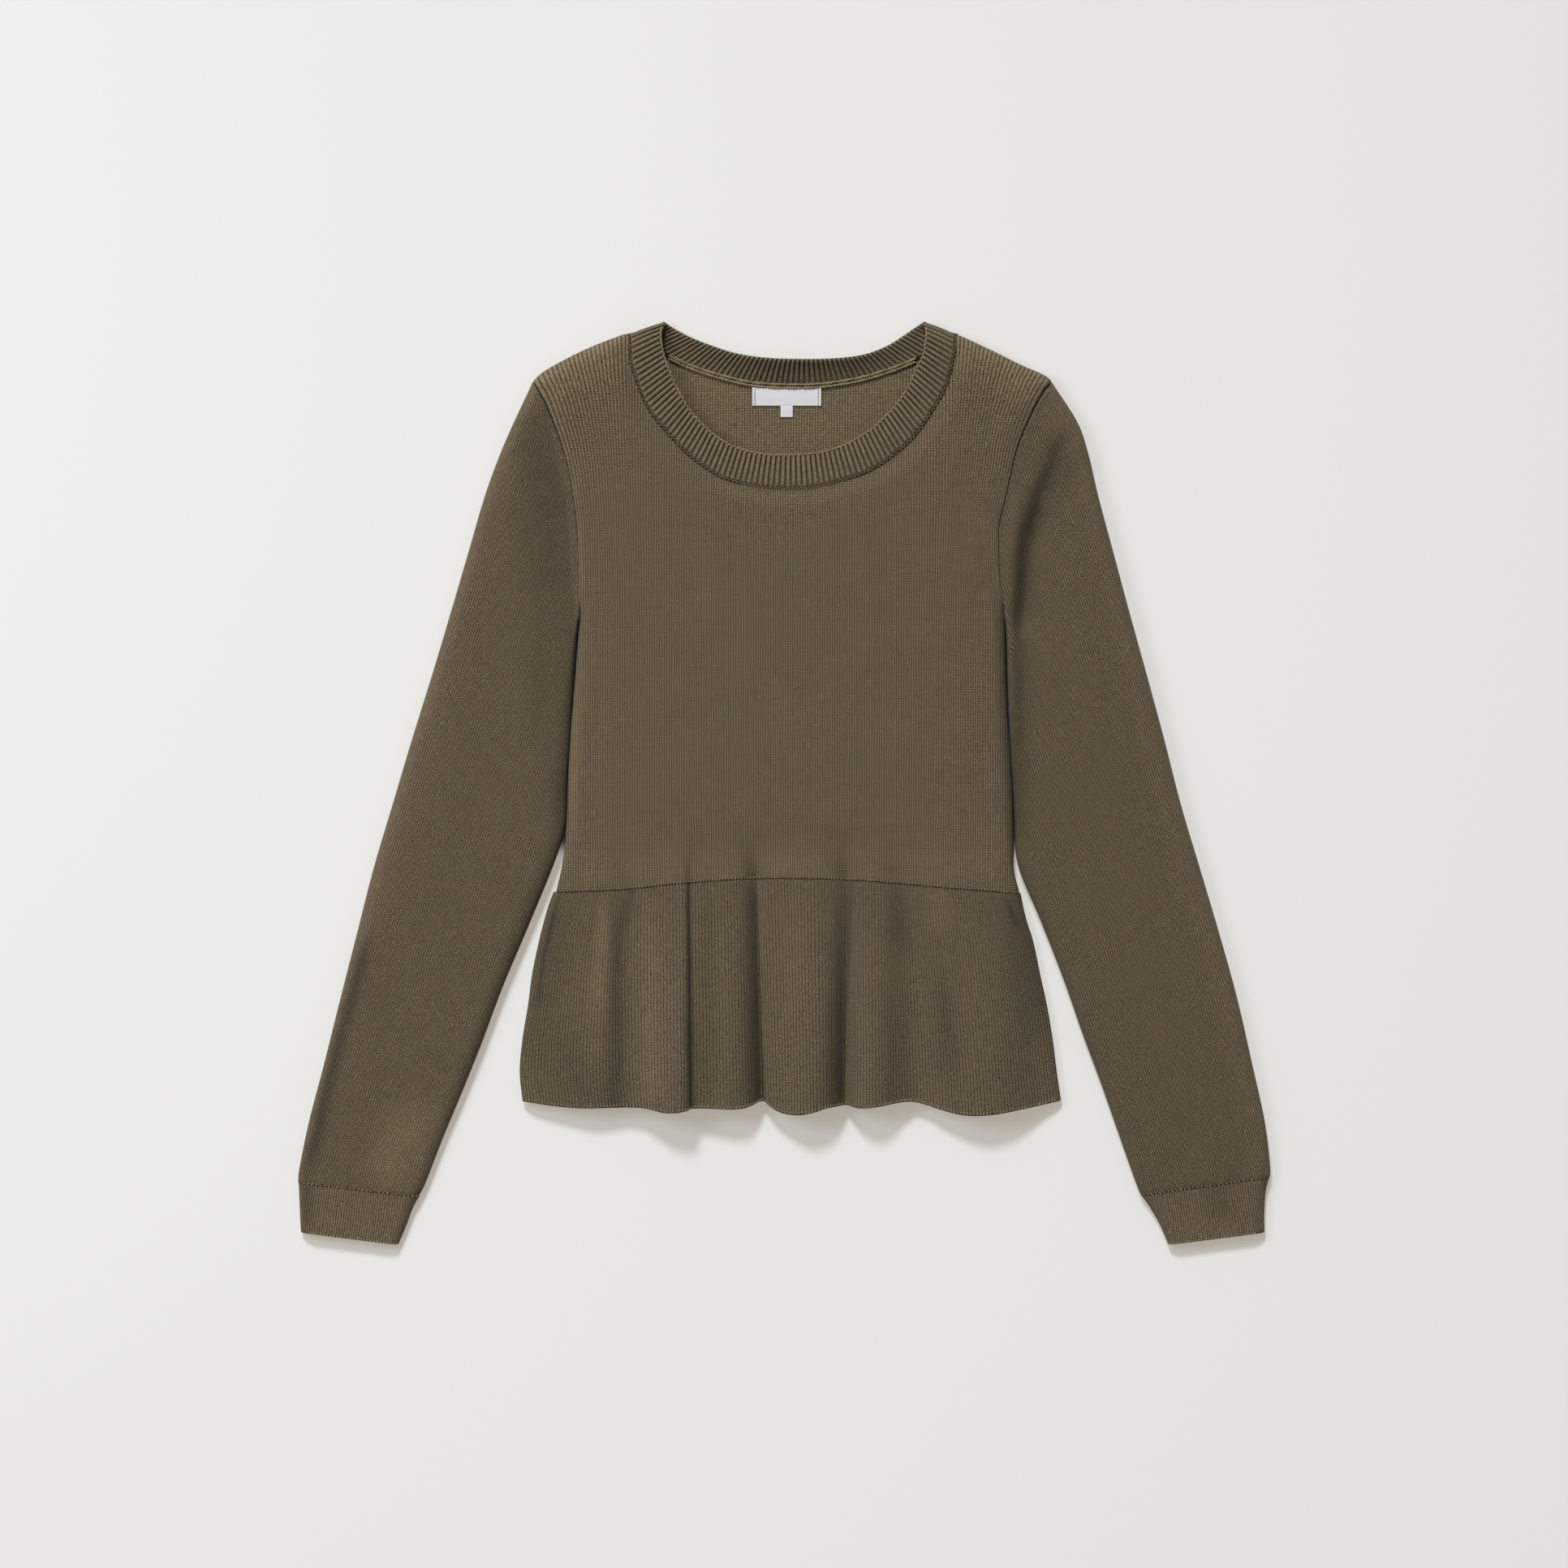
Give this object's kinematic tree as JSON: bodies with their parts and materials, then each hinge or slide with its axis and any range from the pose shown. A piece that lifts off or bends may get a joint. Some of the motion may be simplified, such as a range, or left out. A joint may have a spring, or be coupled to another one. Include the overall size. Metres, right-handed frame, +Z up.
{
  "type": "crew neck peplum sweater",
  "caption": "Fine-knit long-sleeved crew neck sweater with a ribbed neckband and a gathered peplum hem, laid flat with its front up.",
  "frame": {"origin": "middle of the garment's outline, on the surface it lies on", "axes": "+X from the wearer's right sleeve, at the picture's left, to the wearer's left sleeve; +Y from hem to neck; +Z up from the surface"},
  "size_m": [0.706, 0.6702, 0.0292],
  "materials": {
    "knit": "fine matte knit",
    "label": "woven satin, bare"
  },
  "bodies": {
    "root": {"front": "knit", "back": "knit", "sleeve_left_upper": "knit", "sleeve_left_lower": "knit", "sleeve_right_upper": "knit", "sleeve_right_lower": "knit", "cuff_left": "knit", "cuff_right": "knit", "neckband": "knit", "peplum_front": "knit", "peplum_back": "knit", "label": "label", "size_tab": "label"}
  },
  "joints": []
}
